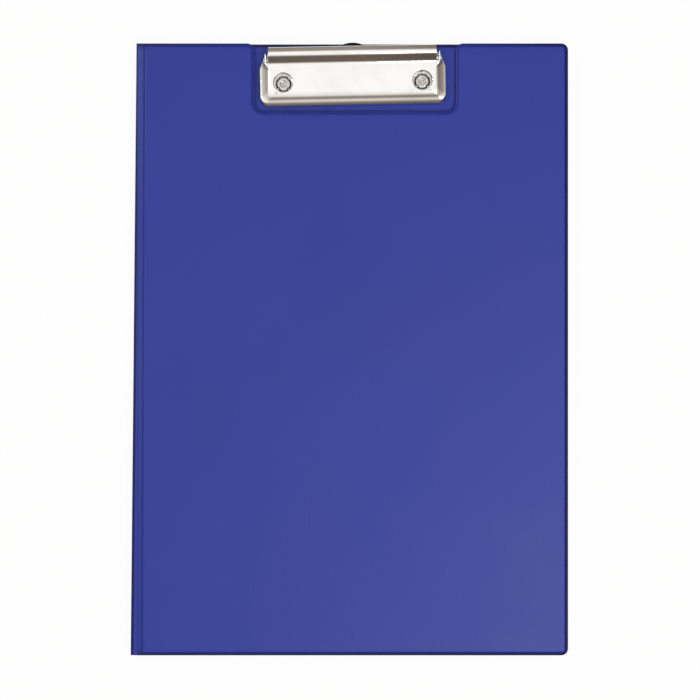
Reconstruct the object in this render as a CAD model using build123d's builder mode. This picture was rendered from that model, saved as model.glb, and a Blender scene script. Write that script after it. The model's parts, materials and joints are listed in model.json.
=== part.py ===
from build123d import *
from math import acos, asin, atan2, ceil, cos, degrees, dist, pi, radians, sin
import os

os.makedirs("parts", exist_ok=True)

# A closed clipboard folder, lying flat on its back board. +X runs across the page
# towards the free edge, +Y up the page towards the clip, +Z out of the front cover.
# The origin is the middle of the underside. All sizes are millimetres.

# Panels: a stiff board between two films that are welded round its edge
panel_width = 222.7
panel_height = 320.0
film = 0.3
rim_width = 2.0
free_corner = 3.5
back_board_thickness = 2.2
cover_board_thickness = 1.9
page_gap = 1.0

# The film fold at the spine: a flap on each board and a strip between two fold lines
spine_weld_width = 1.9
fold_line_out = 3.25
fold_slit = 0.7
bulge_at_top = 0.2
bulge_at_bottom = 0.9
strip_flats = 4

# The notch in the cover, open at the top edge
notch_width = 105.0
notch_depth = 35.4
notch_inner_corner = 5.0
notch_mouth_corner = 4.0

# The clear pocket inside the cover
pocket_film = 0.2
pocket_margin = 3.0
pocket_top = 70.0
thumb_radius = 14.0

# The clip stands slightly turned on the board. Its own directions are u across,
# v towards the top edge and w upwards, measured from the board below the axle.
clip_turn = 1.1
clip_centre_x = -1.4
axle_line_y = 151.5
sheet = 0.8
axle_height = 3.4
axle_radius = 1.0
running_gap = 0.05
seat_gap = 0.02

# The lever: outline at the jaw and at the plate
jaw_gap = 0.3
plate_height = 6.8
jaw_half_width = 48.5
plate_half_width = 44.6
jaw_v = -22.9
plate_front_v = -19.7
jaw_corner = 4.0
plate_corner = 2.6
plate_bend = 1.6
bend_steps = 3
cheek_taper_from_v = -6.5
cheek_taper_to_v = -2.0
cheek_half_width_low = 46.0
cheek_half_width_high = 45.7
cheek_rear_v = 3.2
cheek_lift = 0.2
axle_head_radius = 1.7
axle_head_thickness = 0.5
axle_end_play = 0.25

# The thumb roll behind the plate
roll_half_length = 43.0
trough_v = -1.8
trough_radius = 2.2
roll_rise_angle = 55.0
roll_rise_length = 2.6
roll_radius = 1.6
roll_wrap_angle = 150.0

# Rivets and the dished holes that let the riveting tool reach them
rivet_half_spacing = 36.3
rivet_v = -11.8
rivet_shank_radius = 2.2
rivet_head_radius = 4.5
rivet_head_thickness = 0.8
rivet_head_sunk = 0.05
rivet_flare_radius = 4.2
rivet_flare_thickness = 0.7
rivet_petals = 4
rivet_slot_width = 1.0
rivet_slot_depth = 0.5
rivet_eye_radius = 1.9
rivet_pip_radius = 0.8
access_radius = 5.0
dish_radius = 6.4
dish_floor_radius = 5.4
dish_depth = 0.5

# The base plate
base_front_v = -17.8
base_rear_v = 4.8
base_corner = 2.0
ear_half_width = 44.6
ear_radius = 2.2
channel_half_width = 8.5
channel_height = 1.6
channel_slope = 1.2
stop_radius = 1.3
stop_v = -2.8
stop_drop = 1.2

# The hanging tab in its channel
tab_half_width = 8.2
tab_thickness = 1.1
tab_lift = 0.2
tab_front_v = -17.4
tab_rear_v = 9.1
tab_end_radius = 14.0
tab_hole_radius = 3.0
tab_hole_v = 3.7
tab_travel = 11.8
stop_play = 0.25

# The double torsion spring on the axle
wire_radius = 0.45
coil_radius = 1.6
coil_turns = 2
coil_pitch = 1.5
coil_step = 95.0
wire_sides = 8
arm_u = 13.0
bar_v = 1.85
bar_w = 8.0
leg_v = 4.2
leg_w = 1.27
bar_bend = 1.2

# Heights that follow from the stack of films and boards
back_face = 2 * film + back_board_thickness
back_weld = back_face / 2
cover_under = back_face + page_gap
cover_face = cover_under + 2 * film + cover_board_thickness
cover_weld = (cover_under + cover_face) / 2

# Places across the page
spine_weld_x = -panel_width / 2
free_edge_x = panel_width / 2
fold_x = spine_weld_x - fold_line_out
half_height = panel_height / 2

clip_across = (cos(radians(clip_turn)), sin(radians(clip_turn)), 0)
clip_along = (-sin(radians(clip_turn)), cos(radians(clip_turn)), 0)
clip_foot = (clip_centre_x, axle_line_y, back_face)
clip_plan = Plane(origin=clip_foot, x_dir=clip_across, z_dir=(0, 0, 1))
clip_side = Plane(origin=clip_foot, x_dir=clip_along, z_dir=clip_across)
clip_front = Plane(origin=clip_foot, x_dir=clip_across, z_dir=[-c for c in clip_along])
rivet_places = [(-rivet_half_spacing, rivet_v), (rivet_half_spacing, rivet_v)]


# A panel's outline with its two rounded corners at the free edge. The inset draws
# it in from the film's edge, and the spine side has its own place.
def panel_outline(plane, spine_x, inset):
    right = free_edge_x - inset
    top = half_height - inset
    with BuildSketch(plane) as outline:
        with Locations(((spine_x + right) / 2, 0)):
            Rectangle(right - spine_x, 2 * top)
        fillet(outline.vertices().group_by(Axis.X)[-1], free_corner - inset / 2)
    return outline.sketch


# The notch, grown by the margin where the board stands back from the film's edge
def notch_outline(plane, margin, edge_y):
    floor_y = half_height - notch_depth - margin
    half = notch_width / 2 + margin
    mouth = notch_mouth_corner - margin / 2
    with BuildSketch(plane) as outline:
        with Locations((0, (floor_y + edge_y) / 2)):
            Rectangle(2 * half, edge_y - floor_y)
        fillet(outline.vertices().group_by(Axis.Y)[0], notch_inner_corner + margin)
        with Locations((0, edge_y)):
            Rectangle(2 * (half + mouth), 2 * mouth)
        with Locations((-half - mouth, edge_y - mouth), (half + mouth, edge_y - mouth)):
            Circle(mouth, mode=Mode.SUBTRACT)
    return outline.sketch


# One welded film: a shallow tray that fits over half the board's thickness, with a
# flat flange from the weld outwards. The side is +1 above the board, -1 below it.
def film_tray(weld_z, side, half_thickness, notched):
    weld = Plane.XY.offset(weld_z)
    board_x = spine_weld_x + spine_weld_width
    with BuildPart() as tray:
        add(panel_outline(weld, fold_x + fold_slit, 0))
        extrude(amount=side * film)
        add(panel_outline(weld, board_x - film, rim_width - film))
        extrude(amount=side * half_thickness)
        if notched:
            add(notch_outline(weld, 0, half_height))
            extrude(amount=side * film, mode=Mode.SUBTRACT)
            raised = weld.offset(side * film)
            add(notch_outline(raised, rim_width - film, half_height - rim_width + film))
            extrude(amount=side * (half_thickness - film), mode=Mode.SUBTRACT)
        face = tray.faces().filter_by(Axis.Z).sort_by(Axis.Z)[-1 if side > 0 else 0]
        chamfer(face.outer_wire().edges(), film)
    return tray.part


# The board, full thickness and cut square
def stiff_board(low_z, thickness, notched):
    low = Plane.XY.offset(low_z)
    with BuildPart() as board:
        add(panel_outline(low, spine_weld_x + spine_weld_width, rim_width))
        extrude(amount=thickness)
        if notched:
            add(notch_outline(low, rim_width, half_height - rim_width))
            extrude(amount=thickness, mode=Mode.SUBTRACT)
    return board.part


# Boards: plain blanks first, which the films are hollowed by
back_blank = stiff_board(film, back_board_thickness, False)
cover_blank = stiff_board(cover_under + film, cover_board_thickness, True)

# Back board with rivet holes, and pockets below them that sink the rivet heads
with BuildPart() as back_board:
    add(back_blank)
    with BuildSketch(clip_plan):
        with Locations(rivet_places):
            Circle(rivet_shank_radius + seat_gap)
    extrude(amount=-back_face, mode=Mode.SUBTRACT)
    with BuildSketch(clip_plan.offset(-back_face)):
        with Locations(rivet_places):
            Circle(rivet_head_radius + running_gap)
    extrude(amount=rivet_head_sunk + rivet_head_thickness, mode=Mode.SUBTRACT)

with BuildPart() as back_inner_film:
    add(film_tray(back_weld, 1, back_face / 2, False))
    add(back_blank, mode=Mode.SUBTRACT)
    with BuildSketch(clip_plan):
        with Locations(rivet_places):
            Circle(rivet_shank_radius + seat_gap)
    extrude(amount=-film, mode=Mode.SUBTRACT)

with BuildPart() as back_outer_film:
    add(film_tray(back_weld, -1, back_face / 2, False))
    add(back_blank, mode=Mode.SUBTRACT)
    with BuildSketch(clip_plan.offset(-back_face)):
        with Locations(rivet_places):
            Circle(rivet_head_radius + running_gap)
    extrude(amount=film, mode=Mode.SUBTRACT)

# Front cover
with BuildPart() as cover_board:
    add(cover_blank)

with BuildPart() as cover_outer_film:
    add(film_tray(cover_weld, 1, (cover_face - cover_under) / 2, True))
    add(cover_blank, mode=Mode.SUBTRACT)

with BuildPart() as cover_inner_film:
    add(film_tray(cover_weld, -1, (cover_face - cover_under) / 2, True))
    add(cover_blank, mode=Mode.SUBTRACT)

# Pocket of clear film on the inside of the cover, with a thumb cut in its open edge
with BuildPart() as cover_pocket:
    with BuildSketch(Plane.XY.offset(cover_under - pocket_film)):
        pocket_left = spine_weld_x + spine_weld_width + pocket_margin
        pocket_right = free_edge_x - rim_width - pocket_margin
        pocket_low = -half_height + rim_width + pocket_margin
        with Locations(((pocket_left + pocket_right) / 2, (pocket_low + pocket_top) / 2)):
            RectangleRounded(pocket_right - pocket_left, pocket_top - pocket_low, free_corner)
        with Locations((0, pocket_top)):
            Circle(thumb_radius, mode=Mode.SUBTRACT)
    extrude(amount=pocket_film)


# Section of the spine strip: a band that bulges outwards between the fold lines and
# follows a round arc in short flats. Inner and outer are offsets from its middle.
def strip_section(y, bulge, inner, outer):
    plane = Plane(origin=(fold_x, y, (back_weld + cover_weld) / 2), x_dir=(1, 0, 0), z_dir=(0, -1, 0))
    reach = (cover_weld - back_weld) / 2 - fold_slit
    radius = (reach**2 + bulge**2) / (2 * bulge)
    half_angle = asin(reach / radius)
    angles = [half_angle * (2 * k / strip_flats - 1) for k in range(strip_flats + 1)]
    with BuildSketch(plane) as section:
        with BuildLine():
            sides = []
            for offset_out in (inner, outer):
                r = radius + offset_out
                sides.append([(radius - bulge - r * cos(a), r * sin(a)) for a in angles])
            Polyline(*sides[0], *reversed(sides[1]), close=True)
        make_face()
    return section.sketch


with BuildPart() as spine_outer_film:
    add(strip_section(half_height, bulge_at_top, 0, film))
    add(strip_section(-half_height, bulge_at_bottom, 0, film))
    loft(ruled=True)

with BuildPart() as spine_inner_film:
    add(strip_section(half_height, bulge_at_top, -film, 0))
    add(strip_section(-half_height, bulge_at_bottom, -film, 0))
    loft(ruled=True)


wall_lean = atan2(jaw_half_width - plate_half_width, plate_height - jaw_gap)
wall_inset = sheet / cos(wall_lean)


# Outline of the lever at one height. Its walls lean in from the jaw to the plate,
# and turn upright at the cheeks. The inset draws in the walls and the front.
def lever_outline(height, inset, cheek_inset, rear_v):
    share = (height - jaw_gap) / (plate_height - jaw_gap)
    half = jaw_half_width + (plate_half_width - jaw_half_width) * share - inset
    cheek = cheek_half_width_low + (cheek_half_width_high - cheek_half_width_low) * share - cheek_inset
    front = jaw_v + (plate_front_v - jaw_v) * share + inset
    corner = jaw_corner + (plate_corner - jaw_corner) * share - inset
    with BuildSketch(clip_plan.offset(height)) as outline:
        with BuildLine():
            Polyline(
                (-half, front),
                (half, front),
                (half, cheek_taper_from_v),
                (cheek, cheek_taper_to_v),
                (cheek, rear_v),
                (-cheek, rear_v),
                (-cheek, cheek_taper_to_v),
                (-half, cheek_taper_from_v),
                close=True,
            )
        make_face()
        fillet(outline.vertices().group_by(Axis.Y)[0], corner)
    return outline.sketch


# The lever's block: leaning walls, then a bend of the given radius into the plate
def lever_block(low, high, inset, cheek_inset, bend, rear_v):
    tangent_length = bend * (1 - sin(wall_lean)) / cos(wall_lean)
    with BuildPart() as block:
        add(lever_outline(low, inset, cheek_inset, rear_v))
        for step in range(bend_steps + 1):
            angle = wall_lean + (pi / 2 - wall_lean) * step / bend_steps
            drop = bend * (1 - sin(angle))
            drawn_in = drop * sin(wall_lean) / cos(wall_lean) + tangent_length - bend * cos(angle)
            add(lever_outline(high - drop, inset + drawn_in, cheek_inset, rear_v))
        loft(ruled=True)
    return block.part


lever_outside = lever_block(jaw_gap, plate_height, 0, 0, plate_bend, cheek_rear_v)
inside_bend = plate_bend - sheet
inside_rear_v = cheek_rear_v + sheet
lever_inside = lever_block(0, plate_height - sheet, wall_inset, sheet, inside_bend, inside_rear_v)

with BuildPart() as clip_lever:
    add(lever_outside)
    add(lever_inside, mode=Mode.SUBTRACT)
    # The plate ends at the trough, and only the cheeks go on behind it
    with BuildSketch(clip_plan):
        with Locations((0, (trough_v + inside_rear_v) / 2)):
            Rectangle(2 * (cheek_half_width_high - sheet), inside_rear_v - trough_v)
    extrude(amount=plate_height, mode=Mode.SUBTRACT)
    # Cheeks rounded about the axle below and behind it
    with BuildSketch(clip_side):
        with Locations((cheek_rear_v, axle_height)):
            Rectangle(2 * cheek_rear_v, 2 * plate_height)
        with Locations((0, axle_height)):
            Circle(axle_height - cheek_lift, mode=Mode.SUBTRACT)
        with Locations((0, (axle_height + plate_height) / 2)):
            Rectangle(2 * cheek_rear_v, plate_height - axle_height, mode=Mode.SUBTRACT)
    extrude(amount=jaw_half_width, both=True, mode=Mode.SUBTRACT)
    # Thumb roll: the plate's rear edge runs up a hollow slope and over a round crown
    with BuildSketch(clip_side):
        with BuildLine():
            with BuildLine(mode=Mode.PRIVATE) as roll_path:
                start = Line((trough_v - 2 * sheet, plate_height - sheet), (trough_v, plate_height - sheet))
                hollow = JernArc(start @ 1, start % 1, trough_radius, roll_rise_angle)
                rise = Line(hollow @ 1, (hollow @ 1) + (hollow % 1) * roll_rise_length)
                JernArc(rise @ 1, rise % 1, roll_radius, -roll_wrap_angle)
            offset(roll_path.line, amount=sheet, side=Side.LEFT)
        make_face()
    extrude(amount=roll_half_length, both=True)
    # Axle holes in both cheeks
    with BuildSketch(clip_side):
        with Locations((0, axle_height)):
            Circle(axle_radius + running_gap)
    extrude(amount=jaw_half_width, both=True, mode=Mode.SUBTRACT)

    # Access holes, each in a shallow dish pressed into the plate
    with BuildSketch(clip_plan.offset(plate_height - sheet - dish_depth)):
        with Locations(rivet_places):
            Circle(dish_radius)
    extrude(amount=dish_depth)
    with Locations(clip_plan.offset(plate_height - dish_depth / 2)):
        with Locations(rivet_places):
            Cone(dish_floor_radius, dish_radius, dish_depth, mode=Mode.SUBTRACT)
    with BuildSketch(clip_plan.offset(plate_height)):
        with Locations(rivet_places):
            Circle(access_radius)
    extrude(amount=-sheet - dish_depth, mode=Mode.SUBTRACT)

# Base plate: one pressed sheet with a raised channel for the tab and two upright ears
with BuildPart() as clip_base:
    with BuildSketch(clip_front.offset(-base_rear_v)):
        with BuildLine():
            with BuildLine(mode=Mode.PRIVATE) as base_path:
                Polyline(
                    (-ear_half_width, 0),
                    (-channel_half_width - channel_slope, 0),
                    (-channel_half_width, channel_height),
                    (channel_half_width, channel_height),
                    (channel_half_width + channel_slope, 0),
                    (ear_half_width, 0),
                )
            offset(base_path.line, amount=sheet, side=Side.LEFT, kind=Kind.INTERSECTION)
        make_face()
    extrude(amount=base_rear_v - base_front_v)
    upright = clip_base.edges().filter_by(Axis.Z)
    fillet(upright.group_by(Axis(clip_foot, clip_across))[0], base_corner)
    upright = clip_base.edges().filter_by(Axis.Z)
    fillet(upright.group_by(Axis(clip_foot, clip_across))[-1], base_corner)
    with BuildSketch(clip_side.offset(ear_half_width - sheet)):
        with Locations((0, axle_height)):
            Circle(ear_radius)
        with Locations((0, axle_height / 2)):
            Rectangle(2 * ear_radius, axle_height)
    ear = extrude(amount=sheet)
    mirror(ear, about=clip_side)
    with BuildSketch(clip_side):
        with Locations((0, axle_height)):
            Circle(axle_radius + seat_gap)
    extrude(amount=jaw_half_width, both=True, mode=Mode.SUBTRACT)
    with BuildSketch(clip_plan):
        with Locations(rivet_places):
            Circle(rivet_shank_radius + seat_gap)
    extrude(amount=sheet, mode=Mode.SUBTRACT)
    # A dimple in the channel's roof stops the tab at both ends of its travel
    with BuildSketch(clip_plan.offset(channel_height)):
        with Locations((0, stop_v)):
            Circle(stop_radius)
    extrude(amount=-stop_drop)

# Axle with a riveted head outside each cheek
with BuildPart() as clip_axle:
    head_u = cheek_half_width_low + axle_end_play - axle_head_thickness / 2
    with BuildSketch(clip_side):
        with Locations((0, axle_height)):
            Circle(axle_radius)
    extrude(amount=head_u, both=True)
    with BuildSketch(clip_side.offset(head_u)):
        with Locations((0, axle_height)):
            Circle(axle_head_radius)
    axle_head = extrude(amount=axle_head_thickness)
    mirror(axle_head, about=clip_side)

# Rivets: a sunk head below, a shank, and an end spread into four petals round an eye
with BuildPart() as clip_rivets:
    with BuildSketch(clip_plan.offset(rivet_head_sunk - back_face)):
        with Locations(rivet_places):
            Circle(rivet_head_radius)
    extrude(amount=rivet_head_thickness)
    with BuildSketch(clip_plan.offset(rivet_head_sunk + rivet_head_thickness - back_face)):
        with Locations(rivet_places):
            Circle(rivet_shank_radius)
    extrude(amount=back_face + sheet - rivet_head_sunk - rivet_head_thickness)
    with BuildSketch(clip_plan.offset(sheet)):
        with Locations(rivet_places):
            Circle(rivet_flare_radius)
    extrude(amount=rivet_flare_thickness)
    flare_rims = clip_rivets.faces().sort_by(Axis.Z)[-2:].edges()
    chamfer(flare_rims, rivet_flare_thickness / 2)
    with BuildSketch(clip_plan.offset(sheet + rivet_flare_thickness)):
        with Locations(rivet_places):
            Circle(rivet_eye_radius)
            Circle(rivet_pip_radius, mode=Mode.SUBTRACT)
            slot_middle = (rivet_eye_radius + rivet_flare_radius) / 2
            with PolarLocations(slot_middle, rivet_petals, start_angle=180 / rivet_petals):
                Rectangle(rivet_flare_radius, rivet_slot_width)
    extrude(amount=-rivet_slot_depth, mode=Mode.SUBTRACT)

# Hanging tab: round outer end, a hole to hang it by, and the slot that the stop runs in
with BuildPart() as hanging_tab:
    with BuildSketch(clip_plan.offset(tab_lift)):
        with Locations((0, (tab_front_v + tab_rear_v) / 2)):
            Rectangle(2 * tab_half_width, tab_rear_v - tab_front_v)
        with Locations((0, tab_rear_v - tab_end_radius)):
            Circle(tab_end_radius, mode=Mode.INTERSECT)
        with Locations((0, tab_hole_v)):
            Circle(tab_hole_radius, mode=Mode.SUBTRACT)
        slot_rear = stop_v + stop_radius + stop_play
        slot_front = stop_v - stop_radius - stop_play - tab_travel
        with Locations((0, (slot_front + slot_rear) / 2)):
            SlotOverall(slot_rear - slot_front, 2 * (stop_radius + stop_play), 90, mode=Mode.SUBTRACT)
    extrude(amount=tab_thickness)


# A point given in the clip's own directions
def clip_point(u, v, w):
    return clip_plan.from_local_coords(Vector(u, v, w))


# A direction given in the clip's own directions
def clip_direction(u, v, w):
    return (clip_point(u, v, w) - clip_point(0, 0, 0)).normalized()


# Two arcs that leave the first point along its direction and reach the second
# point along its own, each taking an equal share
def biarc(first, leaving, second, arriving):
    chord = second - first
    along = chord.dot(leaving + arriving)
    spread = 2 * (1 - leaving.dot(arriving))
    share = (-along + (along**2 + spread * chord.dot(chord)) ** 0.5) / spread
    joint = (first + second + (leaving - arriving) * share) / 2
    opening = TangentArc(first, joint, tangent=leaving)
    TangentArc(joint, second, tangent=opening % 1)


# The angle on the coil's circle where a straight wire from a point touches it
def touch_angle(v, w, turn):
    rise = w - axle_height
    return degrees(atan2(rise, v) + turn * acos(coil_radius / (v**2 + rise**2) ** 0.5))


# Torsion spring, one wire: a leg on the base plate, a coil round the axle, an arm up
# to the bar under the roll, and the same again on the other side
leg_angle = touch_angle(leg_v, leg_w, -1)
arm_angle = touch_angle(bar_v, bar_w, 1) - 360
coil_sweep = leg_angle - arm_angle + 360 * coil_turns
step_count = ceil(coil_sweep / coil_step)
coil_length = coil_pitch * coil_sweep / 360
turn_rise = coil_pitch / (2 * pi)


# Place and direction on the left coil after a share of its sweep
def coil_place(share):
    angle = radians(leg_angle - coil_sweep * share)
    u = -arm_u - coil_length * (1 - share)
    point = clip_point(u, coil_radius * cos(angle), axle_height + coil_radius * sin(angle))
    rise = 0 if share in (0, 1) else turn_rise
    return point, clip_direction(rise, coil_radius * sin(angle), -coil_radius * cos(angle))


with BuildPart() as clip_spring:
    with BuildLine() as spring_path:
        leg_end = clip_point(-arm_u - coil_length, leg_v, leg_w)
        stations = [coil_place(k / step_count) for k in range(step_count + 1)]
        Line(leg_end, stations[0][0])
        for here, there in zip(stations, stations[1:]):
            biarc(*here, *there)
        arm_top, arm_way = clip_point(-arm_u, bar_v, bar_w), stations[-1][1]
        arm = Line(stations[-1][0], arm_top - arm_way * bar_bend)
        bar_way = clip_direction(1, 0, 0)
        TangentArc(arm @ 1, arm_top + bar_way * bar_bend, tangent=arm_way)
        Line(arm_top + bar_way * bar_bend, clip_point(0, bar_v, bar_w))
        mirror(about=clip_side)
    with BuildSketch(Plane(leg_end, z_dir=stations[0][1])):
        RegularPolygon(wire_radius, wire_sides)
    sweep()

# The least gap of the spring's wire to itself, measured on points of its path
route = spring_path.wires()[0]
sample_count = 700
route_points = [tuple(route.position_at(k / sample_count)) for k in range(sample_count + 1)]
apart = ceil(pi * coil_radius / (route.length / sample_count))
spring_gap = min(dist(a, b) for i, a in enumerate(route_points) for b in route_points[i + apart :])
print("spring wire to itself, least gap", round(spring_gap - 2 * wire_radius, 2))

pieces = {
    "back_board": back_board,
    "back_inner_film": back_inner_film,
    "back_outer_film": back_outer_film,
    "cover_board": cover_board,
    "cover_inner_film": cover_inner_film,
    "cover_outer_film": cover_outer_film,
    "cover_pocket": cover_pocket,
    "spine_inner_film": spine_inner_film,
    "spine_outer_film": spine_outer_film,
    "clip_base": clip_base,
    "clip_lever": clip_lever,
    "clip_axle": clip_axle,
    "clip_spring": clip_spring,
    "clip_rivets": clip_rivets,
    "hanging_tab": hanging_tab,
}
for name, piece in pieces.items():
    piece.part.label = name
    export_step(piece.part, f"parts/{name}.step")
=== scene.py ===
import bmesh
import bpy
import json
from math import acos, asin, atan2, cos, degrees, pi, radians, sin, sqrt
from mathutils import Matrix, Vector


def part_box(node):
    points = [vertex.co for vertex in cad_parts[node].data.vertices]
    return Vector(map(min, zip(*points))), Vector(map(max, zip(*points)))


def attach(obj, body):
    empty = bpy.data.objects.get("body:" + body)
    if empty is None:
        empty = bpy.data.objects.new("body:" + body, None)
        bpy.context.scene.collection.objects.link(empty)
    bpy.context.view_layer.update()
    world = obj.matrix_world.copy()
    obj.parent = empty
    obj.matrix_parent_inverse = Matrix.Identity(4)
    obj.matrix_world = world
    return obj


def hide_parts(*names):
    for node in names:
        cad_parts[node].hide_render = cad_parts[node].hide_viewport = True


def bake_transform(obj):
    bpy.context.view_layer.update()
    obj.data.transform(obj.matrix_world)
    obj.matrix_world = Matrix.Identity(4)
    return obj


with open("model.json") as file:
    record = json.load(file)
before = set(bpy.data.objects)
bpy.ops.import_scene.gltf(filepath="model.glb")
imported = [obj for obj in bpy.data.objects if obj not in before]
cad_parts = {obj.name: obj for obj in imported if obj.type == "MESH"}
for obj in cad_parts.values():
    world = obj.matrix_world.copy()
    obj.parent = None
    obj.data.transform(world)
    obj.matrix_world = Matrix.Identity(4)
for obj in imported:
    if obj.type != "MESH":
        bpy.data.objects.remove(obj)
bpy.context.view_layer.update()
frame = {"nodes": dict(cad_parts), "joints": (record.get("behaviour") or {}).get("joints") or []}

nodes = frame["nodes"]
scene = bpy.context.scene
mm = 0.001
print("frame loaded,", len(nodes), "nodes")

joinGap = 1e-7          # points of a built mesh nearer than this, in metres, become one
looseGap = 1e-6         # the same for a mesh that comes from the frame or a node tree

# Places that the pieces are measured from, read from the frame

coverLow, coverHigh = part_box("cover_board")
backLow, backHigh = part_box("back_board")
film = backLow.z        # the lower film lies under the board
boardInset = 2.0 * mm   # from the film's rim to the board
halfPage = coverHigh.y + boardInset
freeEdge = coverHigh.x + boardInset
boardLeft = coverLow.x
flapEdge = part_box("cover_outer_film")[0].x
backWeld = (backLow.z + backHigh.z) / 2
coverWeld = (coverLow.z + coverHigh.z) / 2
backFace = backHigh.z + film

leverJoint = next(j for j in frame["joints"] if j["name"] == "lever_tilt")
across = -Vector(leverJoint["axis"]).normalized()
along = Vector((0, 0, 1)).cross(across)
axleHeight = leverJoint["pos_m"][2] - backFace
clipFoot = Vector(leverJoint["pos_m"]) - Vector((0, 0, axleHeight))


# A point in the clip's own directions: u across, v towards the top edge, w up
def clipPoint(u, v, w):
    return clipFoot + across * u + along * v + Vector((0, 0, w))


# Node and mesh helpers

def addNode(tree, kind, inputs=None, **settings):
    node = tree.nodes.new(kind)
    for key, value in settings.items():
        setattr(node, key, value)
    for key, value in (inputs or {}).items():
        node.inputs[key].default_value = value
    return node


def newMaterial(name, **values):
    material = bpy.data.materials.new(name)
    material.use_nodes = True
    shader = material.node_tree.nodes["Principled BSDF"]
    for key, value in values.items():
        shader.inputs[key.replace("_", " ")].default_value = value
    return material, material.node_tree, shader


# Noise on the object's own coordinates, stretched along an axis if asked
def addNoise(tree, scale, detail=3, stretch=(1, 1, 1)):
    coordinates = addNode(tree, "ShaderNodeTexCoord")
    stretched = addNode(tree, "ShaderNodeMapping", {"Scale": stretch})
    noise = addNode(tree, "ShaderNodeTexNoise", {"Scale": scale, "Detail": detail})
    tree.links.new(coordinates.outputs["Object"], stretched.inputs["Vector"])
    tree.links.new(stretched.outputs["Vector"], noise.inputs["Vector"])
    return noise


def rampFrom(tree, source, stops):
    ramp = addNode(tree, "ShaderNodeValToRGB")
    ramp.color_ramp.elements[0].position = stops[0][0]
    ramp.color_ramp.elements[0].color = (*stops[0][1], 1)
    ramp.color_ramp.elements[1].position = stops[-1][0]
    ramp.color_ramp.elements[1].color = (*stops[-1][1], 1)
    for position, colour in stops[1:-1]:
        ramp.color_ramp.elements.new(position).color = (*colour, 1)
    tree.links.new(source, ramp.inputs["Fac"])
    return ramp


# Noise keeps mostly between 0.3 and 0.7, and this spreads that part over a range of its own
def spreadOf(tree, source, low, high):
    ends = {"From Min": 0.3, "From Max": 0.7, "To Min": low, "To Max": high}
    spread = addNode(tree, "ShaderNodeMapRange", ends)
    tree.links.new(source, spread.inputs["Value"])
    return spread.outputs["Result"]


def addBump(tree, height, distance, strength=1.0, under=None):
    bump = addNode(tree, "ShaderNodeBump", {"Distance": distance, "Strength": strength})
    tree.links.new(height, bump.inputs["Height"])
    if under is not None:
        tree.links.new(under.outputs["Normal"], bump.inputs["Normal"])
    return bump


def ringIn(mesh, points):
    return [mesh.verts.new(p) for p in points]


def bridgeRings(mesh, first, second, closed=True):
    count = len(first) if closed else len(first) - 1
    for k in range(count):
        n = (k + 1) % len(first)
        mesh.faces.new((first[k], first[n], second[n], second[k]))


# Fills a flat outline that may have holes in it
def fillFlat(mesh, *loops):
    edges = []
    for loop in loops:
        for a, b in zip(loop, loop[1:] + loop[:1]):
            edges.append(mesh.edges.get((a, b)) or mesh.edges.new((a, b)))
    bmesh.ops.triangle_fill(mesh, use_beauty=True, use_dissolve=False, edges=edges)


def circlePoints(radius, steps, centre=(0, 0)):
    turns = [2 * pi * k / steps for k in range(steps)]
    return [(centre[0] + radius * cos(a), centre[1] + radius * sin(a)) for a in turns]


def arcPoints(centreX, centreY, radius, start, end, steps):
    turns = [radians(start + (end - start) * k / steps) for k in range(steps + 1)]
    return [(centreX + radius * cos(a), centreY + radius * sin(a)) for a in turns]


def mixOf(a, b, share):
    return a + (b - a) * share


def easeOf(low, high, value):
    t = min(max((value - low) / (high - low), 0), 1)
    return t * t * (3 - 2 * t)


def pieceFrom(mesh, name, material, closed=True):
    if closed:
        bmesh.ops.remove_doubles(mesh, verts=mesh.verts, dist=joinGap)
        bmesh.ops.recalc_face_normals(mesh, faces=mesh.faces)
    data = bpy.data.meshes.new(name)
    mesh.to_mesh(data)
    mesh.free()
    data.materials.append(material)
    piece = bpy.data.objects.new(name, data)
    scene.collection.objects.link(piece)
    return piece


# Turns the modifiers into plain mesh, and shades all but the sharp edges smooth
def settle(piece, sharpAngle=35):
    bpy.context.view_layer.update()
    graph = bpy.context.evaluated_depsgraph_get()
    data = bpy.data.meshes.new_from_object(piece.evaluated_get(graph))
    data.name = piece.name
    piece.modifiers.clear()
    piece.data = data
    data.shade_smooth()
    data.set_sharp_from_angle(angle=radians(sharpAngle))
    return piece


def addBevel(piece, width, segments=2, angle=40):
    bevel = piece.modifiers.new("edge", "BEVEL")
    bevel.width = width
    bevel.segments = segments
    bevel.limit_method = "ANGLE"
    bevel.angle_limit = radians(angle)


# A copy of a CAD node with softened edges
def softened(nodeName, name, material, width, segments=2):
    mesh = bmesh.new()
    mesh.from_mesh(nodes[nodeName].data)
    bmesh.ops.remove_doubles(mesh, verts=mesh.verts, dist=looseGap)
    flat = radians(1)        # triangles that lie this flat to each other become one face
    bmesh.ops.dissolve_limit(mesh, angle_limit=flat, verts=mesh.verts, edges=mesh.edges)
    piece = pieceFrom(mesh, name, material, closed=False)
    addBevel(piece, width, segments)
    return settle(piece)


def place(piece, body, slot, *replaced):
    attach(piece, body)
    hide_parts(*replaced)


# Blue film: soft plastic with a fine leather grain, a little cloudy in colour, and with painted shade
# where it turns down at its rims and at the fold's edge

blueFinish = dict(
    # the darkest colour is painted shade, for the film where it turns down at its rims and at the fold's
    # edge
    deep=(0.0095, 0.0255, 0.288), light=(0.0110, 0.0285, 0.308), pressed=(0.0015, 0.0030, 0.085),
    cloudScale=9, cloudDetail=4, cloudFrom=0.35, cloudTo=0.65, sheenLow=0.40, sheenHigh=0.50,
    grainScale=1500, grainDetail=2, grainDepth=0.030 * mm, poreScale=950, poreDepth=0.022 * mm,
    values=dict(Specular_IOR_Level=0.38),
)


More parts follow.
